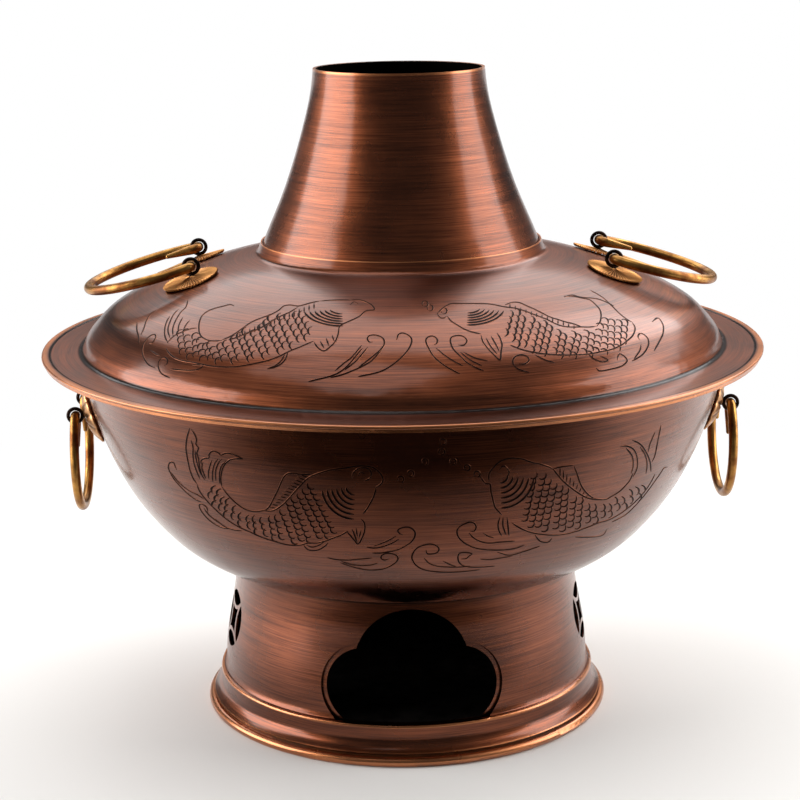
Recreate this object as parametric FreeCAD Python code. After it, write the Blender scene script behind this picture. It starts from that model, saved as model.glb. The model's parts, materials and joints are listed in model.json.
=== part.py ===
import FreeCAD, Part
import math
import os

V = FreeCAD.Vector

# ---- driving dimensions, millimetres ----
total_height = 324.0        # standing plane to the mouth of the chimney
rim_radius = 180.0          # outer edge of the lid's hem

tube_radius = 80.0          # fire tube inside the bowl
tube_sheet = 1.5
tube_straight_top = 150.0
neck_taper = 11.5           # how much the tube narrows up to the lid's collar
foot_flange_width = 4.6     # tube's turned-out foot, under the bowl
foot_flange_clearance = 0.2
mouth_radius = 42.2
mouth_slope = -0.08         # run over rise of the chimney at its mouth

base_height = 79.5
base_sheet = 1.1
waist_radius = tube_radius + 7.2            # top of the skirt, under the bowl
skirt_foot_radius = waist_radius + 6.4
skirt_flare_corner = 1.1    # tight bend of the hollow flare at the step
skirt_flare_turn = 65.0     # how far that bend turns, degrees; a wide bend turns the rest
band_radius = waist_radius + 9.4           # lower band of the base
band_flare = 4.2            # how far the band turns out above the bead
band_flare_drop = 3.5       # start of that turn, below the step's corner
band_foot_gap = 1.3         # edge of the band above the bead
neck_inset = 0.8            # neck of the bead inside the band's edge
neck_lap = 0.3              # neck of the bead up behind the band
step_height = 18.9         # sharp step between band and skirt
step_corner = 1.2
foot_bead_centre = band_radius + 4.4        # rolled bead the pot stands on
foot_bead_radius = 2.4
foot_wire_radius = 1.2
foot_flat = 0.2             # depth worn off the bead where it stands

bowl_sheet = 1.3
flange_top = 186.3          # top of the bowl's flange
flange_width = 17.5
flange_inset = 1.2          # flange edge inside the lid's hem
shoulder_run = 8.0          # bend from the bowl's wall to its flange
shoulder_rise = 3.8
wall_lean = 0.25            # run over rise of the wall at its top
seat_gap = 0.3              # lid hem above the bowl's flange

lid_sheet = 1.0
hem_width = 4.2
hem_height = 1.7
hem_groove = 0.35
hem_corner = 0.5
lid_flange_width = 14.5
lid_flange_rise = 0.9
collar_top = 239.3
collar_band = 4.0
collar_gap = 0.42           # collar to chimney, all round
collar_fillet_run = 2.6     # hollow between the collar and the dome
collar_fillet_drop = 2.2
dome_crown_slope = 0.16     # rise over run of the dome where it meets that hollow

grate_height = 85.0
grate_thickness = 4.0
grate_slot_width = 7.0
grate_pitch = 14.0
grate_margin = 10.0
grate_clearance = 0.3
ledge_width = 5.0
ledge_thickness = 2.0
ash_floor_sheet = 1.2
ash_floor_edge = 0.3        # how far the floor stays inside the band

door_sill = step_height - 0.3
door_top_radius = 27.5      # cloud door: a top lobe between two side lobes
door_top_centre = door_sill + 28.3
door_side_radius = 22.7
door_side_offset = 21.2
door_side_centre = door_sill + 16.4
liner_side_radius = 20.0    # the liner shows inside the skirt's side lobes
liner_half_angle = 33.0
liner_bend = step_height + 5.5             # below this the liner drops straight to the ash floor
liner_top = base_height - 2.5
liner_sheet = 1.0
liner_gap = 0.1

vent_radius = 14.4          # pierced coin vents
vent_bar = 1.9
vent_height = (step_height + base_height) / 2 - 1.0
vent_angle = 12.0           # in front of the sides, degrees

lid_ring_radius = 36.7      # centre line of the drop handles on the lid
lid_ring_wire = 2.4
lid_eye_share = 0.362       # hinge line, share of the way from collar to dome foot
lid_eye_half_span = 29.5
lid_ring_drop = 15.0        # degrees below level at rest

bowl_ring_radius = 29.9
bowl_ring_wire = 2.3
bowl_eye_half_span = 19.5
bowl_eye_below_flange = 30.1
bowl_eye_stand_off = 10.0   # hinge line out from the bowl's skin

hook_room = 1.4             # space between wire and hook, for the eye's wire
hook_tail = 12.5
tail_tip_radius = 1.1
eye_wire = 0.9
eye_play = 0.35
eye_seat = 0.25             # loop above its rosette
shank_radius = 1.2
shank_clearance = 0.1
shank_below_lid = 1.0
drill_length = 24.0
leg_wire = 0.9
leg_length = 8.0
rivet_head_radius = 3.0
rivet_head_height = 1.0
rivet_head_seat = 1.4

rosette_radius = 14.0
rosette_pleats = 32
rosette_rise = 1.5
rosette_sheet = 0.8
pleat_depth = 0.5
serration = 0.7
rosette_gap = 0.05
lid_eye_height = rosette_gap + rosette_sheet + rosette_rise + lid_ring_wire + eye_play + 2 * eye_wire + eye_seat
plate_radius = 14.0
plate_petals = 14
petal_depth = 1.6
plate_sheet = 1.2
plate_gap = 0.15

# ---- shapes of the spun skins, as shares of the stretch they cover ----
bowl_shape = [(0.255, 0.061), (0.4, 0.133), (0.524, 0.223), (0.68, 0.372), (0.8, 0.536), (0.943, 0.82)]
dome_shape = [(0.967, 0.09), (0.928, 0.205), (0.86, 0.35), (0.76, 0.488), (0.635, 0.612), (0.5, 0.728),
              (0.335, 0.843), (0.185, 0.928), (0.09, 0.97)]
skirt_shape = [(0.18, 0.26), (0.53, 0.49), (0.87, 0.72)]
neck_shape = [(0.065, 0.36), (0.31, 0.675)]
shoulder_shape = [(0.425, 0.763)]
chimney_shape = [(0.338, 0.245), (0.652, 0.52), (0.885, 0.775)]

diagonal = math.sqrt(0.5)
out_dir = "parts"


# ---- sections and solids of revolution ----
def flat_point(r, z):
    return V(r, 0, z)


def straight(a, b):
    return Part.makeLine(flat_point(*a), flat_point(*b))


def arc(a, mid, b):
    return Part.Arc(flat_point(*a), flat_point(*mid), flat_point(*b)).toShape()


def hollow(start, radius, first, last):
    """Arc that turns upwards from one heading to another, degrees up from straight inwards."""
    centre = (start[0] + radius * math.sin(math.radians(first)),
              start[1] + radius * math.cos(math.radians(first)))
    places = []
    for degrees in (first, (first + last) / 2, last):
        turn = math.radians(degrees)
        places.append((centre[0] - radius * math.sin(turn), centre[1] - radius * math.cos(turn)))
    return arc(*places)


def smooth(points, start, end):
    curve = Part.BSplineCurve()
    places = [flat_point(r, z) for r, z in points]
    curve.interpolate(Points=places, InitialTangent=flat_point(*start), FinalTangent=flat_point(*end))
    return curve.toShape()


def beside(edge, t, sheet):
    """Point a sheet's thickness to the left of the edge."""
    tangent = edge.tangentAt(t)
    return edge.valueAt(t) + V(-tangent.z, 0, tangent.x) * sheet


def offset_edge(edge, sheet, steps=16):
    first, last = edge.ParameterRange
    if isinstance(edge.Curve, Part.Line):
        return Part.makeLine(beside(edge, first, sheet), beside(edge, last, sheet))
    if isinstance(edge.Curve, Part.Circle):
        middle = (first + last) / 2
        return Part.Arc(*[beside(edge, t, sheet) for t in (first, middle, last)]).toShape()
    places = [beside(edge, first + (last - first) * i / steps, sheet) for i in range(steps + 1)]
    curve = Part.BSplineCurve()
    curve.interpolate(Points=places, InitialTangent=edge.tangentAt(first), FinalTangent=edge.tangentAt(last))
    return curve.toShape()


def sheet_section(skin, sheet):
    """Face between the skin edges and their offset, the sheet lying to the left of the skin."""
    back = [offset_edge(edge, sheet) for edge in skin]
    ends = [Part.makeLine(skin[0].valueAt(skin[0].FirstParameter), back[0].valueAt(back[0].FirstParameter)),
            Part.makeLine(skin[-1].valueAt(skin[-1].LastParameter), back[-1].valueAt(back[-1].LastParameter))]
    return Part.Face(Part.Wire(Part.__sortEdges__(skin + back + ends)))


def spin(face, degrees=360.0):
    return face.revolve(V(0, 0, 0), V(0, 0, 1), degrees)


def tube(outer, inner, bottom, top):
    return Part.makeCylinder(outer, top - bottom, V(0, 0, bottom)).cut(
        Part.makeCylinder(inner, top - bottom, V(0, 0, bottom)))


def radius_at(edge, height):
    """Radius of a rising skin edge at a height."""
    low, high = edge.ParameterRange
    if edge.valueAt(low).z > edge.valueAt(high).z:
        low, high = high, low
    for _ in range(40):
        middle = (low + high) / 2
        if edge.valueAt(middle).z < height:
            low = middle
        else:
            high = middle
    return edge.valueAt(low).x


def height_at(edge, radius):
    """Height of a skin edge at a radius, for an edge whose radius only grows or only shrinks."""
    low, high = edge.ParameterRange
    if edge.valueAt(low).x > edge.valueAt(high).x:
        low, high = high, low
    for _ in range(40):
        middle = (low + high) / 2
        if edge.valueAt(middle).x < radius:
            low = middle
        else:
            high = middle
    return edge.valueAt(low).z


def between(start, end, shares):
    """Points at shares of the way from start to end, across and up."""
    return [(start[0] + (end[0] - start[0]) * across, start[1] + (end[1] - start[1]) * up)
            for across, up in shares]


# ---- base ----
def skirt_skin():
    flare_top = (band_radius, step_height - 2 * step_corner - band_flare_drop)
    flare_edge = (band_radius + band_flare, 2 * foot_bead_radius + band_foot_gap)
    corner_low = (band_radius, step_height - step_corner)
    corner_mid = (band_radius - step_corner * (1 - diagonal), step_height - step_corner * (1 - diagonal))
    corner_high = (band_radius - step_corner, step_height)
    turned = math.sin(math.radians(skirt_flare_turn))
    run = corner_high[0] - skirt_foot_radius
    wide_bend = (run - skirt_flare_corner * turned) / (1 - turned)
    bends = [hollow(corner_high, skirt_flare_corner, 0, skirt_flare_turn)]
    middle = bends[0].valueAt(bends[0].LastParameter)
    bends.append(hollow((middle.x, middle.z), wide_bend, skirt_flare_turn, 90))
    top = bends[1].valueAt(bends[1].LastParameter)
    skirt_foot = (top.x, top.z)
    waist = (waist_radius, base_height)
    side = [skirt_foot] + between(skirt_foot, waist, skirt_shape) + [waist]
    return [smooth([flare_edge, flare_top], (-0.8, 0.6), (0, 1)),
            straight(flare_top, corner_low),
            arc(corner_low, corner_mid, corner_high),
            bends[0],
            bends[1],
            smooth(side, (0, 1), (0, 1))]


def foot_centre():
    return foot_bead_centre, foot_bead_radius - foot_flat


def cloud_prism(side_radius):
    """Cloud-shaped door as a prism along Y, from the front into the cavity."""
    depth = rim_radius - tube_radius / 2
    cloud = Part.makeCylinder(door_top_radius, depth, V(0, -rim_radius, door_top_centre), V(0, 1, 0))
    for side in (-1, 1):
        cloud = cloud.fuse(Part.makeCylinder(side_radius, depth, V(side * door_side_offset, -rim_radius,
                                                                   door_side_centre), V(0, 1, 0)))
    cloud = cloud.fuse(Part.makeBox(2 * door_side_offset, depth, door_side_centre - door_sill,
                                    V(-door_side_offset, -rim_radius, door_sill)))
    sill = Part.makeBox(4 * rim_radius, depth, door_sill, V(-2 * rim_radius, -rim_radius, 0))
    return cloud.cut(sill).removeSplitter()


def coin_vent(angle):
    """Old coin pattern as five prisms along a radius: four petals and the middle left between them."""
    petals = 4
    reach = vent_radius * math.sqrt(2)

    def disc(radius, across=0.0, up=0.0):
        return Part.makeCylinder(radius, band_radius, V(tube_radius / 2, across, vent_height + up), V(1, 0, 0))

    coin = disc(vent_radius)
    middle = disc(vent_radius)
    holes = []
    for k in range(petals):
        turn = math.radians(k * 360.0 / petals)
        across, up = reach * math.cos(turn), reach * math.sin(turn)
        holes.append(coin.common(disc(vent_radius - vent_bar / 2, across, up)))
        middle = middle.cut(disc(vent_radius + vent_bar / 2, across, up))
    cutter = Part.makeCompound(holes + [middle])
    cutter.rotate(V(0, 0, 0), V(0, 0, 1), angle)
    return cutter


def make_base():
    skirt = spin(sheet_section(skirt_skin(), base_sheet))
    ring, height = foot_centre()
    bead = Part.makeTorus(ring, foot_bead_radius, V(0, 0, height)).cut(
        Part.makeTorus(ring, foot_wire_radius, V(0, 0, height)))
    bead = bead.cut(Part.makeBox(4 * rim_radius, 4 * rim_radius, foot_bead_radius,
                                 V(-2 * rim_radius, -2 * rim_radius, -foot_bead_radius)))
    neck_outer = band_radius + band_flare - neck_inset
    neck = tube(neck_outer, neck_outer - base_sheet, height + foot_wire_radius / 2,
                2 * foot_bead_radius + band_foot_gap + neck_lap)
    neck = neck.cut(Part.makeTorus(ring, foot_wire_radius, V(0, 0, height)))
    base = skirt.fuse([bead, neck]).removeSplitter()
    base = base.cut(cloud_prism(door_side_radius))
    for angle in (180 + vent_angle, 360 - vent_angle):
        base = base.cut(coin_vent(angle))
    return base


def make_foot_wire():
    ring, height = foot_centre()
    return Part.makeTorus(ring, foot_wire_radius, V(0, 0, height))


def make_door_liner():
    side = skirt_skin()[-1]
    steps = 12
    first, last = side.ParameterRange
    inner = [beside(side, first + (last - first) * i / steps, base_sheet + liner_gap)
             for i in range(steps + 1)]
    inner = [(p.x, p.z) for p in inner if liner_bend <= p.z <= liner_top]
    foot = (inner[0][0], step_height - base_sheet + liner_gap)
    skin = smooth(inner, (0, 1), (inner[-1][0] - inner[-2][0], inner[-1][1] - inner[-2][1]))
    face = sheet_section([straight(foot, inner[0]), skin], liner_sheet)
    face.rotate(V(0, 0, 0), V(0, 0, 1), -90 - liner_half_angle)
    liner = face.revolve(V(0, 0, 0), V(0, 0, 1), 2 * liner_half_angle)
    return liner.cut(cloud_prism(liner_side_radius))


def make_ash_floor():
    radius = band_radius - base_sheet - ash_floor_edge
    return Part.makeCylinder(radius, ash_floor_sheet, V(0, 0, step_height - base_sheet - ash_floor_sheet))


# ---- bowl, fire tube and grate ----
def bowl_skin():
    edge = rim_radius - flange_inset
    low = (waist_radius, base_height)
    high = (edge - flange_width, flange_top - bowl_sheet - shoulder_rise)
    shoulder = (high[0] + shoulder_run, flange_top - bowl_sheet)
    wall = [low] + between(low, high, bowl_shape) + [high]
    bend = [high] + between(high, shoulder, shoulder_shape) + [shoulder]
    return [straight((tube_radius + foot_flange_clearance, base_height), low),
            smooth(wall, (1, 0), (wall_lean, 1)),
            smooth(bend, (wall_lean, 1), (1, 0)),
            straight(shoulder, (edge, flange_top - bowl_sheet))]


def make_bowl():
    return spin(sheet_section(bowl_skin(), bowl_sheet))


def tube_skin():
    foot = foot_flange_clearance
    mid = foot * (1 - diagonal)
    knee = (tube_radius, tube_straight_top)
    mouth = (mouth_radius, total_height)
    collar = (tube_radius - neck_taper, collar_top)
    upper = [knee] + between(knee, collar, neck_shape)
    upper += [collar] + between(collar, mouth, chimney_shape) + [mouth]
    return [straight((tube_radius + foot_flange_width, base_height), (tube_radius + foot, base_height)),
            arc((tube_radius + foot, base_height), (tube_radius + mid, base_height + mid),
                (tube_radius, base_height + foot)),
            straight((tube_radius, base_height + foot), knee),
            smooth(upper, (0, 1), (mouth_slope, 1))]


def make_chimney():
    return spin(sheet_section(tube_skin(), tube_sheet))


def make_grate_ledge():
    bore = tube_radius - tube_sheet
    return tube(bore, bore - ledge_width, grate_height - ledge_thickness, grate_height)


def make_grate():
    radius = tube_radius - tube_sheet - grate_clearance
    grate = Part.makeCylinder(radius, grate_thickness, V(0, 0, grate_height))
    slot_reach = radius - grate_margin
    rows = int(slot_reach / grate_pitch)
    for k in range(-rows, rows + 1):
        half = math.sqrt(slot_reach ** 2 - (k * grate_pitch) ** 2) - grate_slot_width / 2
        slot = Part.makeBox(2 * half, grate_slot_width, 3 * grate_thickness,
                            V(-half, k * grate_pitch - grate_slot_width / 2, grate_height - grate_thickness))
        for end in (-half, half):
            slot = slot.fuse(Part.makeCylinder(grate_slot_width / 2, 3 * grate_thickness,
                                               V(end, k * grate_pitch, grate_height - grate_thickness)))
        grate = grate.cut(slot)
    return grate


# ---- lid ----
def lid_skin():
    """Skin of the lid from its hem up over the dome to the collar's top edge."""
    cone = tube_skin()[-1]
    out = collar_gap + lid_sheet
    top = (radius_at(cone, collar_top) + out, collar_top)
    foot = (radius_at(cone, collar_top - collar_band) + out, collar_top - collar_band)
    hem_inner = rim_radius - hem_width
    flange_z = flange_top + seat_gap + hem_height - hem_groove
    dome_foot = (rim_radius - hem_width - lid_flange_width, flange_z + lid_flange_rise)
    start = (foot[0] + collar_fillet_run, foot[1] - collar_fillet_drop)
    dome = [dome_foot] + [(start[0] + (dome_foot[0] - start[0]) * across,
                           dome_foot[1] + (start[1] - dome_foot[1]) * up) for across, up in dome_shape]
    dome.append(start)
    slope = (top[0] - foot[0], top[1] - foot[1])
    flange = (dome_foot[0] - hem_inner - hem_corner, dome_foot[1] - flange_z)
    return [straight((hem_inner + hem_corner, flange_z), dome_foot),
            smooth(dome, flange, (-1, dome_crown_slope)),
            smooth([start, foot], (-1, dome_crown_slope), slope),
            straight(foot, top)]


def hem_section():
    low = flange_top + seat_gap
    high = low + hem_height
    inner, outer = rim_radius - hem_width, rim_radius
    round_ = hem_height / 2
    corner = hem_corner
    return Part.Face(Part.Wire([
        straight((inner + corner, low), (outer - round_, low)),
        arc((outer - round_, low), (outer, low + round_), (outer - round_, high)),
        straight((outer - round_, high), (inner + corner, high)),
        arc((inner + corner, high), (inner + corner * (1 - diagonal), high - corner * (1 - diagonal)),
            (inner, high - corner)),
        straight((inner, high - corner), (inner, low + corner)),
        straight((inner, low + corner), (inner + corner, low))]))


def make_lid():
    return spin(sheet_section(lid_skin(), lid_sheet)).fuse(spin(hem_section())).removeSplitter()


# ---- handles ----
def wire_bend(centre, bend, start, end, wire):
    """Round wire bent about a point of the XY plane, from one angle to another, degrees."""
    angle = math.radians(start)
    place = centre + V(math.cos(angle), math.sin(angle), 0) * bend
    circle = Part.Face(Part.Wire(Part.makeCircle(wire, place, V(-math.sin(angle), math.cos(angle), 0))))
    return circle.revolve(centre, V(0, 0, 1), end - start)


def make_ring(ring_radius, half_span, wire):
    """Drop handle in the XY plane: hinge line on Y, loop towards +X, hooks turned back inside."""
    hook_radius = wire + hook_room
    reach = ring_radius - hook_radius
    centre = V(hook_radius + math.sqrt(reach ** 2 - half_span ** 2), 0, 0)
    meet = math.degrees(math.atan2(half_span, hook_radius - centre.x))
    ring = wire_bend(centre, ring_radius, -meet, meet, wire)
    pieces = []
    for side in (-1, 1):
        eye = V(hook_radius, side * half_span, 0)
        pieces.append(wire_bend(eye, hook_radius, side * meet, side * 270, wire))
        tail_start = eye + V(0, -side * hook_radius, 0)
        tail = Part.makeCone(wire, tail_tip_radius, hook_tail, tail_start, V(1, 0, 0))
        tip = Part.makeSphere(tail_tip_radius, tail_start + V(hook_tail, 0, 0))
        pieces += [tail, tip]
    return ring.fuse(pieces).removeSplitter()


def make_eye(wire, shank_end, direction, fastening):
    """Loop of wire round the hinge line, with a shank along the direction to its fastening."""
    loop_radius = wire + eye_play + eye_wire
    loop = Part.makeTorus(loop_radius, eye_wire, V(0, 0, 0), V(0, 1, 0))
    shank = Part.makeCylinder(shank_radius, shank_end - loop_radius, direction * loop_radius, direction)
    return loop.fuse([shank] + fastening).removeSplitter()


def make_lid_ring():
    ring = make_ring(lid_ring_radius, lid_eye_half_span, lid_ring_wire)
    ring.rotate(V(0, 0, 0), V(0, 1, 0), lid_ring_drop)
    reach, height = lid_hinge()
    ring.translate(V(reach, 0, height))
    return ring


def lid_eye_surface():
    """Point of the lid's skin under an eye, and the skin's slope there."""
    dome = lid_skin()[1]
    reach = dome_eye_reach()
    radius = math.hypot(reach, lid_eye_half_span)
    step = 1.0
    slope = (height_at(dome, radius + step) - height_at(dome, radius - step)) / (2 * step)
    return radius, height_at(dome, radius), slope


def dome_eye_reach():
    skin = lid_skin()
    collar = skin[-1].valueAt(skin[-1].LastParameter).x
    foot = skin[0].valueAt(skin[0].LastParameter).x
    return collar + (foot - collar) * lid_eye_share


def lid_hinge():
    return dome_eye_reach(), lid_eye_surface()[1] + lid_eye_height


def make_lid_eye():
    """Split pin: a loop, a shank through the lid and two legs spread under the sheet."""
    _, _, slope = lid_eye_surface()
    down = V(0, 0, -1)
    shank_end = lid_eye_height + lid_sheet + shank_below_lid
    legs = []
    tangent = V(1, 0, slope).normalize()
    for way in (-1, 1):
        start = V(0, 0, -shank_end - leg_wire / 2)
        legs.append(Part.makeCylinder(leg_wire, leg_length, start, tangent * way))
        legs.append(Part.makeSphere(leg_wire, start + tangent * (way * leg_length)))
    return make_eye(lid_ring_wire, shank_end + leg_wire / 2, down, legs)


def make_rosette():
    """Pleated disc: ridges and valleys run from the middle to a saw-toothed edge."""
    top_centre = V(0, 0, rosette_rise)
    rim = []
    steps = 2 * rosette_pleats
    for k in range(steps):
        turn = 2 * math.pi * k / steps
        ridge = k % 2 == 0
        radius = rosette_radius if ridge else rosette_radius - serration
        rim.append(V(radius * math.cos(turn), radius * math.sin(turn), pleat_depth if ridge else 0.0))
    down = V(0, 0, -rosette_sheet)
    faces = []
    for k in range(steps):
        a, b = rim[k], rim[(k + 1) % steps]
        for ring in ([top_centre, a, b], [top_centre + down, b + down, a + down],
                     [a, a + down, b + down], [a, b + down, b]):
            faces.append(Part.Face(Part.makePolygon(ring + [ring[0]])))
    shell = Part.makeShell(faces)
    disc = Part.makeSolid(shell)
    if disc.Volume < 0:
        disc.reverse()
    return disc


def make_petal_plate():
    """Flat plate with a rim of round petals, its back face on z = 0."""
    step = 2 * math.pi / plate_petals
    root = plate_radius - petal_depth
    edges = []
    for k in range(plate_petals):
        a, b = k * step, (k + 1) * step
        mid = (a + b) / 2
        edges.append(Part.Arc(V(root * math.cos(a), root * math.sin(a), 0),
                              V(plate_radius * math.cos(mid), plate_radius * math.sin(mid), 0),
                              V(root * math.cos(b), root * math.sin(b), 0)).toShape())
    return Part.Face(Part.Wire(edges)).extrude(V(0, 0, plate_sheet))


def lean(shape, slope_angle, turn):
    """Lean a piece outwards by the slope and turn it about the pot's axis direction."""
    shape.rotate(V(0, 0, 0), V(0, 1, 0), slope_angle)
    shape.rotate(V(0, 0, 0), V(0, 0, 1), turn)
    return shape


def place_rosette(side):
    radius, height, slope = lid_eye_surface()
    turn = math.degrees(math.atan2(side * lid_eye_half_span, dome_eye_reach()))
    rosette = make_rosette()
    lean(rosette, -math.degrees(math.atan(slope)), turn)
    lift = rosette_sheet + rosette_gap
    normal = V(-slope * math.cos(math.radians(turn)), -slope * math.sin(math.radians(turn)), 1).normalize()
    rosette.translate(V(dome_eye_reach(), side * lid_eye_half_span, height) + normal * lift)
    return rosette


def bowl_eye_place():
    """Height of the bowl's hinge line, the skin's reach there and its lean from upright."""
    wall = bowl_skin()[1]
    height = flange_top - bowl_eye_below_flange
    radius = radius_at(wall, height)
    lean_out = math.degrees(math.atan2(radius_at(wall, height + 1) - radius_at(wall, height - 1), 2))
    reach = math.sqrt(radius ** 2 - bowl_eye_half_span ** 2)
    return height, reach, lean_out


def make_bowl_ring():
    height, reach, _ = bowl_eye_place()
    ring = make_ring(bowl_ring_radius, bowl_eye_half_span, bowl_ring_wire)
    ring.rotate(V(0, 0, 0), V(0, 1, 0), 90)
    ring.translate(V(reach + bowl_eye_stand_off, 0, height))
    return ring


def make_bowl_eye():
    """Loop with a shank through plate and bowl, riveted over inside."""
    inward = V(-1, 0, 0)
    shank_end = bowl_eye_stand_off + bowl_sheet + rivet_head_seat
    head = Part.makeCylinder(rivet_head_radius, rivet_head_height, inward * shank_end, inward)
    return make_eye(bowl_ring_wire, shank_end + rivet_head_height / 2, inward, [head])


def place_plate(side):
    height, reach, lean_out = bowl_eye_place()
    turn = math.degrees(math.atan2(side * bowl_eye_half_span, reach))
    plate = make_petal_plate()
    plate.translate(V(0, 0, plate_gap))
    lean(plate, 90 + lean_out, turn)
    plate.translate(V(reach, side * bowl_eye_half_span, height))
    return plate


def pierced(shell, places):
    """Shell with the shank holes of the eyes drilled through it."""
    for point, direction, length in places:
        shell = shell.cut(Part.makeCylinder(shank_radius + shank_clearance, length, point, direction))
    return shell


def half_turn(shape):
    turned = shape.copy()
    turned.rotate(V(0, 0, 0), V(0, 0, 1), 180)
    return turned


def main():
    os.makedirs(out_dir, exist_ok=True)
    nodes = {}
    reach, hinge = lid_hinge()
    wall_height, wall_reach, _ = bowl_eye_place()
    drill = drill_length
    lid_holes = []
    bowl_holes = []
    for way in (-1, 1):
        for side in (-1, 1):
            lid_holes.append((V(way * reach, side * lid_eye_half_span, hinge - drill), V(0, 0, 1), drill))
            bowl_holes.append((V(way * (wall_reach - drill / 2), side * bowl_eye_half_span, wall_height),
                               V(way, 0, 0), drill))

    nodes["base_skirt"] = make_base()
    nodes["foot_wire"] = make_foot_wire()
    nodes["door_liner"] = make_door_liner()
    nodes["ash_floor"] = make_ash_floor()
    nodes["bowl"] = pierced(make_bowl(), bowl_holes)
    nodes["chimney"] = make_chimney()
    nodes["grate_ledge"] = make_grate_ledge()
    nodes["fire_grate"] = make_grate()
    nodes["lid_shell"] = pierced(make_lid(), lid_holes)

    lid_ring = make_lid_ring()
    bowl_ring = make_bowl_ring()
    nodes["lid_ring_right"] = lid_ring
    nodes["lid_ring_left"] = half_turn(lid_ring)
    nodes["bowl_ring_right"] = bowl_ring
    nodes["bowl_ring_left"] = half_turn(bowl_ring)

    for side, name in ((-1, "front"), (1, "back")):
        other = "back" if name == "front" else "front"
        lid_eye = make_lid_eye()
        lid_eye.translate(V(reach, side * lid_eye_half_span, hinge))
        rosette = pierced(place_rosette(side), lid_holes)
        bowl_eye = make_bowl_eye()
        bowl_eye.translate(V(wall_reach + bowl_eye_stand_off, side * bowl_eye_half_span, wall_height))
        plate = pierced(place_plate(side), bowl_holes)
        for kind, shape in (("lid_eye", lid_eye), ("lid_rosette", rosette), ("bowl_eye", bowl_eye),
                            ("bowl_plate", plate)):
            nodes[kind + "_right_" + name] = shape
            nodes[kind + "_left_" + other] = half_turn(shape)

    for name, shape in nodes.items():
        shape.exportStep(os.path.join(out_dir, name + ".step"))


main()
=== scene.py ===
import json
import math

import bmesh
import bpy
from mathutils import Matrix, Vector
from mathutils.bvhtree import BVHTree


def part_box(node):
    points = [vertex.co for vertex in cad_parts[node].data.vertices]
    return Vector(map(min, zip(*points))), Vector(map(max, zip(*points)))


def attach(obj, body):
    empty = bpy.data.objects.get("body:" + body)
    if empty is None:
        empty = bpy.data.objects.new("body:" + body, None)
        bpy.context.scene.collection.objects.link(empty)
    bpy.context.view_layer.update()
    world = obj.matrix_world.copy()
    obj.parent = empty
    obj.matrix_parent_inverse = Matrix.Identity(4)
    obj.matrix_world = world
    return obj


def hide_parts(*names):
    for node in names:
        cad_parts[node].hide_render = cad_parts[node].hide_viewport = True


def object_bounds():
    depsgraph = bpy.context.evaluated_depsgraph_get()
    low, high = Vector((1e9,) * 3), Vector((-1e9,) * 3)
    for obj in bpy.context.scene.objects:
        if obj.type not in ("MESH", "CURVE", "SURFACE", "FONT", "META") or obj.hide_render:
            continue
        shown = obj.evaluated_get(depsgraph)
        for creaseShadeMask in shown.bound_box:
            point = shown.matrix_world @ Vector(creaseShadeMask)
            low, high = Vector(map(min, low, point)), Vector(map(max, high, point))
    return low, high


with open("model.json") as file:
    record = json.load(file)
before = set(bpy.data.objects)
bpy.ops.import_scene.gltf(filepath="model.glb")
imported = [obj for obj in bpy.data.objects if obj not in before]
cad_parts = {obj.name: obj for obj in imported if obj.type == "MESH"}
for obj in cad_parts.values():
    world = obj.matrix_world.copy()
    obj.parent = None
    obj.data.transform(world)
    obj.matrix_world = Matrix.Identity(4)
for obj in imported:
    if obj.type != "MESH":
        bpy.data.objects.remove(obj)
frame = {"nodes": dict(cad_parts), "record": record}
cadLow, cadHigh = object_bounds()

millimetre = 0.001
scene = bpy.context.scene
print("pot loaded, rim", round((cadHigh.x - cadLow.x) / millimetre), "mm over the handles")


# small helpers

def linearColour(hexText):
    channels = [int(hexText[i:i + 2], 16) / 255 for i in (1, 3, 5)]
    return [c / 12.92 if c <= 0.04045 else ((c + 0.055) / 1.055) ** 2.4 for c in channels] + [1.0]


def addNode(tree, kind, settings=None, inputs=None):
    node = tree.nodes.new("ShaderNode" + kind)
    for name, value in (settings or {}).items():
        setattr(node, name, value)
    for key, value in (inputs or {}).items():
        if isinstance(value, bpy.types.NodeSocket):
            tree.links.new(value, node.inputs[key])
        else:
            node.inputs[key].default_value = value
    return node


def work(tree, operation, *values, clamp=False):
    # result of a Math node
    settings = {"operation": operation, "use_clamp": clamp}
    return addNode(tree, "Math", settings, dict(enumerate(values))).outputs[0]


def blend(tree, share, first, second):
    # colours as hex text or as sockets
    first, second = (linearColour(c) if isinstance(c, str) else c for c in (first, second))
    return addNode(tree, "Mix", {"data_type": "RGBA"}, {0: share, 6: first, 7: second}).outputs[2]


def spread(tree, value, low, high, smooth=False):
    # 0 to 1 between low and high
    settings = {"interpolation_type": "SMOOTHSTEP"} if smooth else None
    limits = {"Value": value, "From Min": low, "From Max": high}
    return addNode(tree, "MapRange", settings, limits).outputs["Result"]


def emptyMaterial(name):
    material = bpy.data.materials.new(name)
    material.use_nodes = True
    material.node_tree.nodes.clear()
    return material


def meshPiece(name, bm, materials, body, smooth=True):
    bmesh.ops.recalc_face_normals(bm, faces=bm.faces)
    mesh = bpy.data.meshes.new(name)
    bm.to_mesh(mesh)
    bm.free()
    for material in materials:
        mesh.materials.append(material)
    mesh.polygons.foreach_set("use_smooth", [smooth] * len(mesh.polygons))
    piece = bpy.data.objects.new(name, mesh)
    scene.collection.objects.link(piece)
    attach(piece, body)
    return piece


def closedSheet(bm, top, under):
    # rings of points over both faces of a dished sheet, joined round the rim and round the middle
    pairs = list(zip(top, top[1:])) + [(b, a) for a, b in zip(under, under[1:])]
    pairs += [(top[-1], under[-1]), (under[0], top[0])]
    for a, b in pairs:
        for i in range(len(a)):
            k = (i + 1) % len(a)
            bm.faces.new((a[i], a[k], b[k], b[i]))


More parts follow.
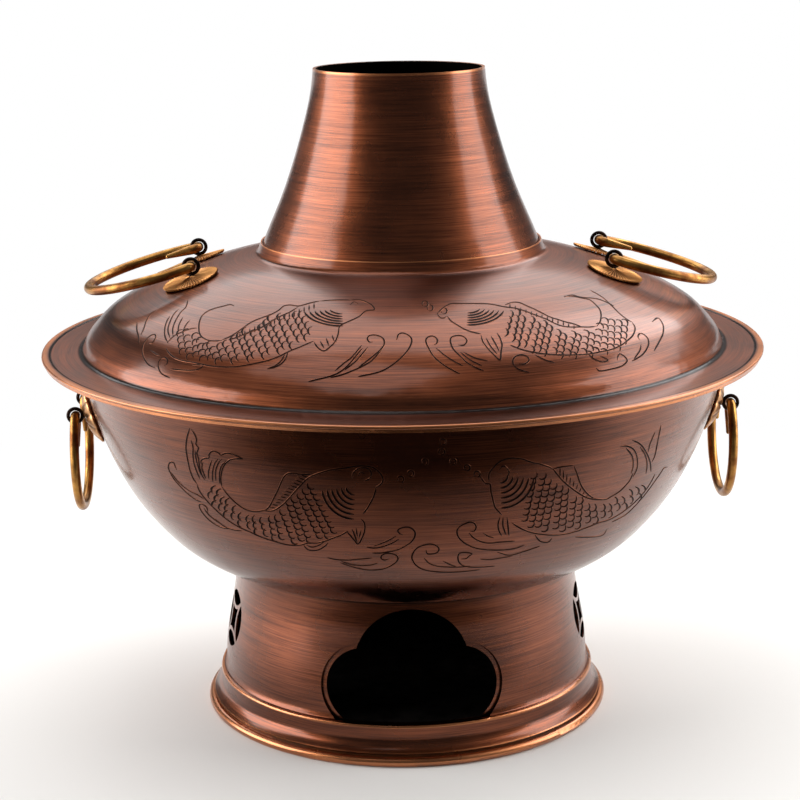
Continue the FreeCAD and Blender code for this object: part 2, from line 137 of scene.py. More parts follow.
def seatOf(node, outward):
    # middle of the part's foot, on the plane that it sits on
    low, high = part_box(node)
    middle = (low + high) / 2
    seat = min(v.co.dot(outward) for v in frame["nodes"][node].data.vertices)
    return middle + outward * (seat - middle.dot(outward))


# camera, in front of the ash door and looking a little down

cameraSetup = {
    "distance": 1000.0,     # mm in front of the chimney's axis
    "height": 397.7,        # mm over the table
    "tilt": 13.58,          # degrees down
    "pan": -0.09,
    "roll": -0.77,
    "turn": -1.7,           # degrees round the pot
    "focal": 90.9,
    "sensor": 36.0,
    "viewSize": 800.0,      # pixels across
}


def makeCamera(setup):
    tilt, pan, roll = (math.radians(setup[key]) for key in ("tilt", "pan", "roll"))
    forward = Vector((math.sin(pan) * math.cos(tilt), math.cos(pan) * math.cos(tilt), -math.sin(tilt)))
    level = Vector((math.cos(pan), -math.sin(pan), 0))
    upright = level.cross(forward)
    right = level * math.cos(roll) + upright * math.sin(roll)
    up = upright * math.cos(roll) - level * math.sin(roll)
    turn = Matrix.Rotation(math.radians(setup["turn"]), 3, "Z")
    place = (turn @ Matrix((right, up, -forward)).transposed()).to_4x4()
    place.translation = turn @ Vector((0, -setup["distance"], setup["height"])) * millimetre
    data = bpy.data.cameras.new("camera")
    data.lens = setup["focal"]
    data.sensor_width = setup["sensor"]
    camera = bpy.data.objects.new("camera", data)
    camera.matrix_world = place
    scene.collection.objects.link(camera)
    scene.camera = camera
    return place


cameraPlace = makeCamera(cameraSetup)
print("camera set")


# studio: paper table that runs out white on every side, felt that only the metal mirrors, five soft boxes

studio = {
    "tableRadius": 14.0,            # metres
    "tableSegments": 96,
    "tableDrop": 0.02,              # mm under the foot
    "tableColour": "#e9e7e4",
    "feltColour": "#2b2624",
    "feltFront": (-0.10, -0.30),    # metres in front, felt from the first to all of it at the second
    "feltSide": (0.62, 0.30),       # the same to either side
    "whiteEdge": (0.17, 0.60),      # metres out from the middle, where the table runs out to white
    "glowEdge": (0.14, 0.80),       # metres behind, where the metal mirrors it as white
    "fill": 0.30,                   # world on matt surfaces
    "room": 0.10,                   # world as mirrored
    "aim": 160.0,                   # mm, where on the pot the lamps point
    # azimuth from the front and height in degrees, distance and size in metres, watts
    "softBoxes": {
        "leftBox": (-88, 15, 1.5, 1.4, 1.1, 26),
        "rightBox": (90, 20, 1.5, 0.95, 1.3, 18),
        "backBox": (176, 50, 1.6, 2.4, 1.5, 25),
        "topBox": (-50, 74, 1.5, 1.1, 0.8, 5),
        "cornerBox": (128, 38, 1.5, 0.8, 0.8, 6),
    },
}
white = (1, 1, 1, 1)


def makeStudio(setup):
    scene.view_settings.view_transform = "Standard"
    world = bpy.data.worlds.new("studio")
    scene.world = world
    world.use_nodes = True
    tree = world.node_tree
    tree.nodes.clear()
    ray = addNode(tree, "LightPath")
    room, fill, wall = (addNode(tree, "Background", None, {"Color": white, "Strength": strength}).outputs[0]
                        for strength in (setup["room"], setup["fill"], 1.0))
    unseen = addNode(tree, "MixShader", None, {0: ray.outputs["Is Diffuse Ray"], 1: room, 2: fill})
    both = addNode(tree, "MixShader", None, {0: ray.outputs["Is Camera Ray"], 1: unseen.outputs[0], 2: wall})
    addNode(tree, "OutputWorld", None, {"Surface": both.outputs[0]})

    for name, (azimuth, height, distance, width, tall, power) in setup["softBoxes"].items():
        data = bpy.data.lights.new(name, "AREA")
        data.shape = "RECTANGLE"
        data.size = width
        data.size_y = tall
        data.energy = power
        lamp = bpy.data.objects.new(name, data)
        turn, rise = math.radians(azimuth), math.radians(height)
        way = Vector((math.sin(turn) * math.cos(rise), -math.cos(turn) * math.cos(rise), math.sin(rise)))
        lamp.location = Vector((0, 0, setup["aim"] * millimetre)) + way * distance
        lamp.rotation_mode = "QUATERNION"
        lamp.rotation_quaternion = way.to_track_quat("Z", "Y")
        lamp.visible_camera = False
        scene.collection.objects.link(lamp)


def makeTable(setup):
    bm = bmesh.new()
    bmesh.ops.create_circle(bm, cap_ends=True, segments=setup["tableSegments"], radius=setup["tableRadius"])
    mesh = bpy.data.meshes.new("table")
    bm.to_mesh(mesh)
    bm.free()
    table = bpy.data.objects.new("table", mesh)
    table.location = (0, 0, cadLow.z - setup["tableDrop"] * millimetre)
    scene.collection.objects.link(table)
    material = emptyMaterial("table paper, matt")
    tree = material.node_tree
    place = addNode(tree, "TexCoord").outputs["Object"]
    axes = addNode(tree, "SeparateXYZ", None, {0: place})
    depth = axes.outputs[1]
    sideways = work(tree, "ABSOLUTE", axes.outputs[0])
    away = addNode(tree, "VectorMath", {"operation": "LENGTH"}, {0: place}).outputs["Value"]
    ray = addNode(tree, "LightPath")

    felt = work(tree, "MULTIPLY", spread(tree, depth, *setup["feltFront"], smooth=True),
                spread(tree, sideways, *setup["feltSide"], smooth=True))
    felt = work(tree, "MULTIPLY", felt, ray.outputs["Is Glossy Ray"])
    colour = blend(tree, felt, setup["tableColour"], setup["feltColour"])
    paper = addNode(tree, "BsdfDiffuse", None, {"Color": colour})
    glow = addNode(tree, "Emission", None, {"Color": white, "Strength": 1.0})
    seen = work(tree, "MULTIPLY", ray.outputs["Is Camera Ray"],
                spread(tree, away, *setup["whiteEdge"], smooth=True))
    mirror = work(tree, "MAXIMUM", ray.outputs["Is Glossy Ray"], ray.outputs["Is Transmission Ray"])
    mirror = work(tree, "MULTIPLY", mirror, spread(tree, depth, *setup["glowEdge"], smooth=True))
    share = work(tree, "MAXIMUM", seen, mirror)
    both = addNode(tree, "MixShader", None, {0: share, 1: paper.outputs[0], 2: glow.outputs[0]})
    addNode(tree, "OutputMaterial", None, {"Surface": both.outputs[0]})
    mesh.materials.append(material)


makeStudio(studio)
makeTable(studio)
print("studio lit")


# finishes

spunCopper = {
    "copper": "#8a4a2c",        # copper toned brown in a liver-of-sulphur bath
    "shadow": "#301309",        # the bath's darker clouds
    "worn": "#cc8253",          # bare copper where edges are rubbed, and a painted highlight along the rounded rims, hem and bead
    "creasePatinaShade": "#1f0f09",        # patina from the bath in corners, darkened further as painted shade in creases and the gaps between parts
    "soot": "#080605",
    "tin": "#a9a39b",           # wiped tin on what touches the food
    "rough": 0.27,
    "roughSpread": 0.08,        # duller under the clouds
    "lay": 0.75,                # how far the brushing draws highlights out
    "strokeWide": 0.42,         # mm, across the brush marks
    "strokeLong": 28.0,         # mm, along them
    "strokeShare": 0.56,        # of the tone
    "strokeEdges": (0.36, 0.64),
    "bandWide": 2.6,
    "bandLong": 60.0,
    "bandShare": 0.30,
    "bandSeed": 7.3,
    "bandMarks": 0.4,           # depth beside the fine marks
    "cloud": 38.0,              # mm
    "cloudShare": 0.24,
    "softEdges": (0.3, 0.7),    # for the bands and the clouds
    "marks": 0.030,             # mm deep, drawn deeper than real ones so that they show
    "markStrength": 0.5,
    "lacquer": 0.55,
    "lacquerRough": 0.16,
    "creaseRough": 0.6,
    "sootRough": 0.8,
    "ringCore": 0.45,           # share of a ring's width that is full strength
    "wornPatches": 0.5,         # how far the clouds break up the worn edges and their painted highlight
}


def makeSpunCopper(name, look, worn, creaseShadeRings, soot=None, tin=None):
    # spun sheet copper, brushed on the lathe, toned and lacquered: round brush lines, drawn-out highlights
    material = emptyMaterial(name)
    tree = material.node_tree
    place = addNode(tree, "TexCoord").outputs["Object"]
    axes = addNode(tree, "SeparateXYZ", None, {0: place})
    flat = addNode(tree, "CombineXYZ", None, {0: axes.outputs[0], 1: axes.outputs[1]}).outputs[0]
    reach = addNode(tree, "VectorMath", {"operation": "LENGTH"}, {0: flat}).outputs["Value"]
    outward = addNode(tree, "VectorMath", {"operation": "NORMALIZE"}, {0: flat}).outputs[0]
    section = addNode(tree, "CombineXYZ", None, {0: reach, 1: axes.outputs[2]}).outputs[0]

    def dot(first, second):
        product = addNode(tree, "VectorMath", {"operation": "DOT_PRODUCT"}, {0: first, 1: second})
        return product.outputs["Value"]

    def strokes(wide, long, detail, seed):
        fine, slow = 1 / (wide * millimetre), 1 / (long * millimetre)
        along = addNode(tree, "VectorMath", {"operation": "MULTIPLY"}, {0: place, 1: (slow, slow, fine)})
        across = work(tree, "MULTIPLY_ADD", reach, fine, seed)
        return addNode(tree, "TexNoise", {"noise_dimensions": "4D"},
                       {"Vector": along.outputs[0], "W": across, "Scale": 1.0, "Detail": detail,
                        "Roughness": 0.6}).outputs[0]

    def ringMask(rings):
        mask = None
        for radius, height, width in rings:
            gap = addNode(tree, "VectorMath", {"operation": "DISTANCE"},
                          {0: section, 1: (radius * millimetre, height * millimetre, 0)})
            edge = spread(tree, gap.outputs["Value"], width * millimetre,
                          width * look["ringCore"] * millimetre, smooth=True)
            mask = edge if mask is None else work(tree, "MAXIMUM", mask, edge)
        return mask

    cloud = addNode(tree, "TexNoise", None, {"Vector": place, "Scale": 1 / (look["cloud"] * millimetre),
                                             "Detail": 4.0, "Roughness": 0.55}).outputs[0]
    fine = spread(tree, strokes(look["strokeWide"], look["strokeLong"], 3.0, 0.0), *look["strokeEdges"])
    slow = strokes(look["bandWide"], look["bandLong"], 2.0, look["bandSeed"])
    band = spread(tree, slow, *look["softEdges"])
    cloud = spread(tree, cloud, *look["softEdges"])
    tone = work(tree, "MULTIPLY_ADD", band, look["bandShare"], 0.0)
    tone = work(tree, "MULTIPLY_ADD", cloud, look["cloudShare"], tone)
    tone = work(tree, "MULTIPLY_ADD", fine, look["strokeShare"], tone, clamp=True)
    colour = blend(tree, tone, look["shadow"], look["copper"])
    rough = work(tree, "MULTIPLY_ADD", cloud, look["roughSpread"], look["rough"] - look["roughSpread"] / 2)

    # creases, grooves and gaps between parts: patina from the bath, darkened further as painted shade
    if creaseShadeRings:
        creaseShadeMask = ringMask(creaseShadeRings)
        colour = blend(tree, creaseShadeMask, colour, look["creasePatinaShade"])
        rough = addNode(tree, "Mix", None, {0: creaseShadeMask, 2: rough, 3: look["creaseRough"]}).outputs[0]
    # worn edges: rubbed-through copper, and a painted highlight where the rounded rims, hem and bead catch
    # the light
    if worn:
        patches = look["wornPatches"]
        patchy = work(tree, "MULTIPLY_ADD", cloud, patches, 1 - patches, clamp=True)
        colour = blend(tree, work(tree, "MULTIPLY", ringMask(worn), patchy), colour, look["worn"])

    facing = addNode(tree, "NewGeometry").outputs["Normal"]
    if soot is not None:
        # faces that look in towards the fire
        dark = work(tree, "LESS_THAN", dot(facing, outward), soot)
        colour = blend(tree, dark, colour, look["soot"])
        rough = addNode(tree, "Mix", None, {0: dark, 2: rough, 3: look["sootRough"]}).outputs[0]
    if tin:
        # the food side: faces that look into the trough
        way, widest, top = tin
        lined = work(tree, "GREATER_THAN", dot(facing, (0, 0, way)), dot(facing, outward))
        lined = work(tree, "MULTIPLY", lined, work(tree, "LESS_THAN", axes.outputs[2], top * millimetre))
        lined = work(tree, "MULTIPLY", lined, work(tree, "LESS_THAN", reach, widest * millimetre))
        colour = blend(tree, lined, colour, look["tin"])

    height = work(tree, "MULTIPLY_ADD", band, look["bandMarks"], fine)
    bump = addNode(tree, "Bump", None, {"Height": height, "Strength": look["markStrength"],
                                        "Distance": look["marks"] * millimetre})
    tangent = addNode(tree, "Tangent", {"direction_type": "RADIAL", "axis": "Z"})
    metal = addNode(tree, "BsdfPrincipled", None,
                    {"Base Color": colour, "Metallic": 1.0, "Roughness": rough, "Normal": bump.outputs[0],
                     "Anisotropic": look["lay"], "Tangent": tangent.outputs[0],
                     "Coat Weight": look["lacquer"], "Coat Roughness": look["lacquerRough"]})
    addNode(tree, "OutputMaterial", None, {"Surface": metal.outputs[0]})
    return material


wirePatches = {
    "edges": (0.36, 0.64),      # how sharply dark and bright metal part
    "flat": 0.5,                # pointiness of a flat face
    "rubbed": 0.75,             # share of the tone that follows what stands proud: rubbed wear, with painted highlight on ridges and painted shade in hollows
    "duller": 0.12,             # rougher where it is dark
    "strength": 0.4,            # of the grain
}


def makeWireMetal(name, look):
    # drawn wire, stamped sheet or a casting, toned dark and rubbed back on what stands proud; where a look
    # gives a ridge width, the lighter relief and darker hollows are also painted highlight and painted shade
    material = emptyMaterial(name)
    tree = material.node_tree
    place = addNode(tree, "TexCoord").outputs["Object"]
    blotch = addNode(tree, "TexNoise", None, {"Vector": place, "Scale": 1 / (look["blotch"] * millimetre),
                                              "Detail": 5.0, "Roughness": 0.6})
    share = spread(tree, blotch.outputs[0], *wirePatches["edges"])
    # pointiness: convex relief lighter and hollows darker, as rubbed wear plus painted highlight and painted
    # shade
    if "ridge" in look:
        point = addNode(tree, "NewGeometry").outputs["Pointiness"]
        ridgeLightShare = spread(tree, point, wirePatches["flat"] - look["ridge"], wirePatches["flat"] + look["ridge"])
        share = addNode(tree, "Mix", None, {0: wirePatches["rubbed"], 2: share, 3: ridgeLightShare}).outputs[0]
    grain = addNode(tree, "TexNoise", None, {"Vector": place, "Scale": 1 / (look["grain"] * millimetre),
                                             "Detail": 2.0})
    bump = addNode(tree, "Bump", None, {"Height": grain.outputs[0], "Strength": wirePatches["strength"],
                                        "Distance": look["marks"] * millimetre})
    rough = addNode(tree, "MapRange", None, {"Value": share, "To Max": look["rough"],
                                             "To Min": look["rough"] + wirePatches["duller"]})
    metal = addNode(tree, "BsdfPrincipled", None,
                    {"Base Color": blend(tree, share, look["dark"], look["bright"]), "Metallic": 1.0,
                     "Roughness": rough.outputs[0], "Normal": bump.outputs[0]})
    addNode(tree, "OutputMaterial", None, {"Surface": metal.outputs[0]})
    return material


# blotch, grain and the depth of the marks in mm
pleatedBrass = {"bright": "#e2a465", "dark": "#5e3519", "blotch": 9.0, "grain": 0.5, "marks": 0.03,
                "rough": 0.46, "ridge": 0.05}
stampedBrass = {"bright": "#cd9a6c", "dark": "#3d2113", "blotch": 5.0, "grain": 0.5, "marks": 0.03,
                "rough": 0.3, "ridge": 0.03}
antiqueBrass = {"bright": "#c4924e", "dark": "#7a4a26", "blotch": 11.0, "grain": 0.5, "marks": 0.03,
                "rough": 0.28}
blackWire = {"bright": "#3a2a24", "dark": "#140e0c", "blotch": 3.0, "grain": 0.4, "marks": 0.03,
             "rough": 0.38}
sootyIron = {"bright": "#2c2826", "dark": "#100e0d", "blotch": 12.0, "grain": 0.9, "marks": 0.12,
             "rough": 0.6}

# rings of worn metal with a painted highlight, then of crease patina with painted shade: radius, height and
# width in mm
copperFor = {
    "chimney": makeSpunCopper(
        "copper chimney, spun and toned", spunCopper,
        [(42.0, 324.0, 1.5), (40.8, 324.0, 1.2)], [], soot=-0.2),
    "lid_shell": makeSpunCopper(
        "copper lid, spun and toned", dict(spunCopper, rough=0.34),
        [(69.9, 239.4, 0.8), (178.6, 187.4, 2.3)], [(175.9, 188.0, 0.9), (160.5, 188.6, 2.2)],
        tin=(-1, 174.0, 240.0)),
    "bowl": makeSpunCopper(
        "copper bowl, spun and toned", spunCopper,
        [(178.8, 185.9, 1.2)], [(87.5, 80.0, 5.0), (170.0, 184.5, 3.0)], tin=(1, 171.0, 185.0)),
    "base_skirt": makeSpunCopper(
        "copper foot, spun and toned", spunCopper,
        [(96.3, 18.6, 1.5), (101.5, 2.4, 4.0), (100.8, 6.2, 0.9)],
        [(99.6, 5.0, 1.0), (86.8, 79.5, 4.0)], soot=-0.2),
}
# warm and smooth, with long highlights
brassWire = makeWireMetal("brass wire, antiqued", antiqueBrass)
# bright on the lobes, brown between them: rubbed wear with painted highlight on the lobes and painted shade
# between
brassSheet = makeWireMetal("brass sheet, stamped and antiqued", stampedBrass)
# golden fans with dark folds: rubbed wear with painted highlight on the ridges and painted shade in the
# folds
brassFan = makeWireMetal("brass sheet, pleated and rubbed bright", pleatedBrass)
# near black with a small shine
eyeWire = makeWireMetal("steel wire, blackened", blackWire)
# dull and pitted
castIron = makeWireMetal("cast iron, sooted", sootyIron)
nodeFinish = {"brass": brassWire, "steel": eyeWire, "iron": castIron}

for row in frame["record"]["subparts"]:
    node = frame["nodes"][row["node"]]
    finish = copperFor.get(row["node"]) or nodeFinish.get(row["material_slot"]) or copperFor["base_skirt"]
    node.data.materials.clear()
    node.data.materials.append(finish)
    for polygon in node.data.polygons:
        polygon.material_index = 0
print("finishes laid on", len(frame["nodes"]), "parts")


# chased carp and waves: each line is a raised lip, rubbed bright with a painted highlight, either side of a
# groove kept dark with patina and painted shade

chasing = {
    "half": 0.34,           # mm, half the width between the lips
    "scaleHalf": 0.52,      # wider cuts for the scales and the gills
    "skirt": 1.5,           # outer foot of the lips, in half widths
    "bed": 0.45,            # edge of the groove's floor, in half widths
    "lip": 0.13,            # mm proud of the sheet
    "floor": 0.05,
    "sunk": 0.06,           # the skirts of the lips start under the surface
    "tip": 0.35,            # width left at the ends of a cut
    "tipLength": 3,         # sections
    "step": 1.3,            # pixels between sections
    "scaleStep": 7.4,       # pixels between scales along the body
    "scaleRow": 6.2,        # and across it
    "scaleRadius": 4.3,
    "scaleSpread": 75,      # degrees either side
    "scaleSections": 7,
    "scaleStart": 0.2,      # first scale over the belly line, in rows
    "bubbleRadius": 3.0,
    "bubbleSpread": 170,
    "bubbleSections": 14,
    "gillSections": 13,
    "landed": 0.8,          # share of a cut that has to meet the part
    "grazing": -0.05,       # faces turned further away than this are left plain
}

# one cut to a line, in pixels of the camera's view, and indented lines go on with the one above
bowlStrokes = """
190,428 188,434 186.5,441 186,448 187,456 188.5,463 190,470 193,478 197,484
191,429 194,433 196.5,439 196,444 198.5,448 197,453 198.5,458 199,462 200,468 202,475 205,480
191,440 193,447 193,455 194,463 197,472 200,479
195,450 196,458 198,466 201,475
202,466 201,461 203,459 206,458 209,458 209,455 211,452 214,451 219,453 221,455 227,453 235,455 243,459
243,459 236,458.5 230,460 226,463 223,468 221.5,474 221,480 222,487
218,459 215,463 213,470 212.5,477 213,482
222,459 219,462 216.5,468 215.5,474 216,481
226,461 222,465 220,471 219.5,478 220,484
212,460 210,466 208.5,473 209,479
203,462 202,468 204,474 206,479
222,487 228,495 236,503 246,509.5 256,511.5 264,510.5 273,510.5 283,504.5 292,495 300,486 307,479
  314,475 330,470 345,468 356,466 366,466 374,468 380,473 383,479 381,484 376,487
264,511 269,507 272,502 275,496 278,490 281,483 284,477 288,473.5 293,473 300,474 312,474
376,487 375,493 372,500 368,507 363,514
197,484 199,490 203,496 209,503 216,510 224,517 232,523 241,528 250,532 260,536.5 270,540 280,543
  290,545 300,545 308,543 316,543 325,541 333,538 341,535 348,531
303,544 307,549 312,550.5 319,549.5 325,546 328,543
306,545 312,547 318,545.5 324,542
346,531 350,535 355,541 358,544 361,540 364,533 365,527 364,522 361,519
352,529 355,536 357,542
356,528 357.5,537
361,530 359,538
352,478 354,472 360,468 367,468 371,472 370,478 364,481
358,476 361,472 365,474
177,470 175,466 174,463 171,462 169,464 168.5,468 170,472 174,479 180,486 187,493 195,499 201,502
171,472 176,479 183,486 190,491 198,495 204,499
208,513 207,508 204,505 200,504 199.5,507 202,512 207,518 213,523 221,527 230,529
204,508 208,514 215,520 223,525
214,518 224,526 233,529.5 242,531
403,535 399,533 398,530 401,528 406,527 411,528 415,532 414.5,537 411,542 405,546 398,549.5 390,551.5
  380,553 372,553
399,539 392,543 384,546 375,548 366,547
396,536 389,540 382,543 374,546
389,559 384,560 381,558 382,555 386,553.5 391,553.5 396,555 398,558 396,562 390,566 382,569 372,570
  362,569 350,566 340,562.5
378,563 370,565 360,565.5 350,564 341,561
372,558 360,559 348,560 336,559.5 327,557.5
426,550 427,553.5 431,554 436,553 439,549.5 437,546 431,544 424,545 417,548 413,553 412,558 415,564
  421,568.5 430,571 440,572 455,572 468,571 480,569.5
424,558 429,563 437,566 448,567 460,567 470,566
443,561 449,564 457,567
470,531 474,531 476,527 474,523 470,522 464,524 459,527 457,531 458,536 462,541 468,545 476,548
  486,549.5 498,550 512,549 525,545
469,533 474,538 481,541.5 490,543 500,542 515,541
483,533 488,536 494,538
461,559 466,558.5 469,556 472,553.5 466,552.5 460,553 458,556 458.5,561 462,565 470,567 482,567 495,566
480,559 490,559.5 500,558 512,556
497,552 510,555 525,551 540,546
480,476 485,483 490,484 491,492 493,500 495,507 500,513 502,515
489,482 489,474 493,468 499,462 506,459 513,458 522,459 531,462 540,464 549,467 553,469
553,469 560,467 567,466 574,465
574,466 577,474 580,483 584,490 590,496 596,499 604,499.5
553,469 562,480 574,490 588,498 604,499.5 612,496 620,491 626,485 630,480 633,473
500,517 498,524 499,531 502,536
503,517 503,526 506,535
507,517 508,527 509,536
512,523 520,528 530,532 540,534 552,535 565,534 577,531 588,527 598,523 608,520 618,515 628,508 637,500
  645,491 651,482 655,474
535,535 540,541 548,542 552,538
505,466 509,472 506,478
499,470 503,466 508,468
661,425 658,440 655,455 652,462
620,447 627,446 634,450 637,458 637,468 633,477
632,440 640,444 646,452 650,462 651,472
626,448 632,456 633,466 631,474
640,447 645,455 647,464 646,474
655,432 650,444 648,452
668,467 664,468 660,474 655,481 650,488 643,497 634,507 625,515 612,522
607,529 604,534 600,536 590,537 575,537
"""
# fin rays: edge and base of the fin at its first and its last ray, and how many
bowlRays = [
    ((269, 507), (300, 474), (275, 508), (309, 478), 13),
    ((560, 467), (588, 495), (560, 477), (586, 497), 9),
]
bubbleOpens = Vector((0.7, -0.7))
bowlBubbles = [(400.7, 479), (410.7, 473.5), (425, 461.7), (443, 441.7), (441.7, 451.7), (453, 461.7),
               (467, 467.7), (477, 474)]
# back and belly from the tail to the gills, and how far the crescents turn from the tail's way
bowlScales = [
    ("209,480 218,486 226,496 237,508 253,515 272,514 287,504 297,494 308,486 318,483",
     "204,488 210,499 219,509 231,518 246,526 262,534 280,539 300,541 322,538 344,530", -30),
    ("646,478 636,486 622,496 604,504 588,502 570,492 554,479 540,471 528,470",
     "650,486 640,496 626,506 608,515 590,522 565,528 540,528 516,518", 30),
]
# gill arcs: centre, smallest and widest reach across and down, from and to in degrees, how many
bowlGills = [((355, 486), (9, 33), (9, 33), (92, 172), 6), ((500, 474), (8, 34), (9, 34), (8, 88), 6)]

lidStrokes = """
350,300 360,300 370,304 374,308 374,310 366,311 360,316 352,320 345,323 340,326 338.5,330
320,301 312,302.5 305,304.5 298,306 290,305 284,306 279,310 272,314 264,317 256,320 250,323 243,328
  236,333 229,337 222,340
298,307 290,312 281,316 272,321 264,326 256,330 247,333 238,337 228,340
320,301 335,300 350,300
222,340.5 214,341 207,340 202,337 199.5,333 199,327 199.5,322 202,316 208,311 216,308 224,306 230,304.5
  234,306
197,328 190,329 182,332 174,336 168,342
166,348 169,353 175,358 184,361 193,362.5 200,364 210,366 222,367 235,367 248,365 260,362.5 270,360
  280,356 290,351 300,347 308,343.5 314,341
168,343 165,336 165,328 167,321 170,316
170,338 168,330 170,322 174,314 179,309
173,336 173,328 176,320 181,312 186,307 188,300
178,333 179,325 183,317
183,331 186,325 190,320
137,322 137,330 139,338 139,344
141,335 144,328 146,322 150,315 156,310
148,343 152,343 155,339 156,336 154,334.5 150,336 146,340 143,346 142.5,353 145,360 149,365 155,368
150,350 156,354 160,356
164,366 167,364 167.5,360 165,357.5 161,359 158.5,363 159,369 162,374 170,378
170,369 180,370 190,370.5 198,369.5 203,366 198,365 192,365
285,354 281,361 275,366 267,369
288,352 285,360 278,366 268,369
314,342 318,348 324,351 330,347 335,342 338,335 339,328
320,341 324,348
326,338 329,346
332,335 334,341
350,305 354,302 358,304
373,342 369,342 367.5,339 369,336 374,335 380,336.5 384,340 384,345 381,349 377,353 358,368
362,345 352,357 343,364 335,371
368,347 357,360 345,370
363,348 340,372 308,382
383,348 370,362 347,373 330,378
396.7,340 398.3,335 403,333 410,336.7 411.7,342 406.7,351.7 395,363 380,371.7 358,376.7
437,314 440,317.5 444,318 447,316
437,314 442,309 448,305 452,303.5 460,303.5 470,303.5 480,303.5 490,304 498,305.5 506,307 514,308
  522,310 530,313 538,316 546,319 554,323 562,326 570,327 580,327 590,327 597,326
505,305 512,302.5 519,302.5 526,305.5 534,309 542,313 550,317 558,319.5 566,322 574,324 582,327
597,326 600,322 601,316 600,310 596,305 590,300 584,298.5 574,296.5 564,296
564,297 572,295 580,297 590,298 598,299 606,302 614,306
590,290 602,297 612,306 620,314 628,320 632,322
632,322 635,328 633,335 628,340 620,346 610,350 600,352 590,354 575,355 560,355 545,354 532,352 520,349
  510,345
447,316 451,321 457,325 464,329 472,332 481,334
481,335 483,342 488,349 494,355 500,360 501,352 502,345 500,338 497,333
486,338 491,347 497,354
491,336 496,345 499,351
588,354 594,359 602,362 608,360 600,356
535,355 545,360 555,363
434,345 437,343 437,339 432,336 427,338 426,342 429,349 434,357 442,364 450,369 460,374
436,348 444,355 455,362 463,366
458,345 464,345 467,341 463,336.5 457,335.5 451,338 451,344 454,350 460,356 466,362 474,367 484,371
460,352 470,360 482,366
463,352 475,358 488,361
519,364 525,364 529,360 526,356 520,355 514,358 513,364 518,369 530,373
640,340 638,337 639,334 643,334 648,339 648,346 643,354 636,359 632,361
641,344 640,350 634,359
652,322 658,318 663,325 663,333 660,340 654,351
617,360 618,356 620,354 625,357 627,361 622,366 612,369 600,371 596,368
"""
lidRays = [
    ((314, 303), (240, 332), (314, 309), (240, 338), 16),
    ((510, 304), (574, 325), (510, 308), (574, 329), 13),
]
lidBubbles = [(425, 304), (430, 308), (444, 311)]
lidScales = [
    ("172,336 184,332 196,334 205,343 218,345 234,337 252,328 269,319 288,311 306,310",
     "174,352 188,358 204,361 220,363 236,362 252,360 276,354 300,344 320,331", 32),
    ("632,326 618,320 604,322 594,332 578,334 560,331 540,323 522,315 504,308",
     "630,340 616,350 600,355 582,357 562,357 542,354 524,349 508,340 502,330", -32),
]
lidGills = [((342, 309), (12, 38), (5, 17), (88, 170), 6), ((468, 308), (12, 36), (5, 17), (10, 92), 6)]


def readPixels(text):
    return [Vector([float(n) for n in pair.split(",")]) for pair in text.split()]


def lengthOf(points):
    return sum((b - a).length for a, b in zip(points, points[1:]))


def resample(points, step):
    # Catmull-Rom through the points, then even steps
    dense = []
    ends = [points[0] * 2 - points[1]] + points + [points[-1] * 2 - points[-2]]
    for before, a, b, after in zip(ends, ends[1:], ends[2:], ends[3:]):
        count = max(2, int((b - a).length / (0.4 * step)))
        for i in range(count):
            t = i / count
            dense.append(0.5 * (2 * a + (b - before) * t + (2 * before - 5 * a + 4 * b - after) * t ** 2
                                + (3 * a - before - 3 * b + after) * t ** 3))
    dense.append(points[-1])
    total = lengthOf(dense)
    count = max(3, round(total / step))
    spots = [dense[0]]
    walked = 0.0
    for a, b in zip(dense, dense[1:]):
        walked += (b - a).length
        while len(spots) <= count and walked >= total * len(spots) / count - 1e-6:
            spots.append(b)
    return spots


def crescent(centre, towards, radius, opening, sections):
    side = Vector((-towards.y, towards.x))
    turns = [math.radians(-opening + 2 * opening * i / (sections - 1)) for i in range(sections)]
    return [centre + towards * (radius * math.cos(t)) + side * (radius * math.sin(t)) for t in turns]


def scaleStrokes(back, belly, lean, look):
    # rows of crescents between the two outlines, every other column half a row further up
    back, belly = readPixels(back), readPixels(belly)
    columns = max(4, round(lengthOf(back) / look["scaleStep"]))
    upper = resample(back, lengthOf(back) / columns)
    lower = resample(belly, lengthOf(belly) / columns)
    turn = Matrix.Rotation(math.radians(lean), 2)
    strokes = []
    for i in range(1, min(len(upper), len(lower)) - 1):
        rows = (lower[i] - upper[i]).length / look["scaleRow"]
        towards = turn @ ((upper[i - 1] + lower[i - 1]) - (upper[i + 1] + lower[i + 1])).normalized()
        for j in range(int(rows) + 1):
            share = (j + look["scaleStart"] + 0.5 * (i % 2)) / rows
            if share <= 1.0:
                strokes.append(crescent(lower[i].lerp(upper[i], share), towards, look["scaleRadius"],
                                        look["scaleSpread"], look["scaleSections"]))
    return strokes


def rayStrokes(outerStart, outerEnd, baseStart, baseEnd, count, look):
    strokes = []
    for i in range(count):
        share = i / (count - 1)
        outer = Vector(outerStart).lerp(Vector(outerEnd), share)
        strokes.append(resample([outer, Vector(baseStart).lerp(Vector(baseEnd), share)], look["step"]))
    return strokes


def gillStrokes(centre, across, down, sweep, count, look):
    strokes = []
    last = look["gillSections"] - 1
    for i in range(count):
        share = i / (count - 1)
        wide, high = (low + (top - low) * share for low, top in (across, down))
        turns = [math.radians(sweep[0] + (sweep[1] - sweep[0]) * k / last) for k in range(last + 1)]
        arc = [Vector((centre[0] + wide * math.cos(t), centre[1] + high * math.sin(t))) for t in turns]
        strokes.append(resample(arc, look["step"]))
    return strokes


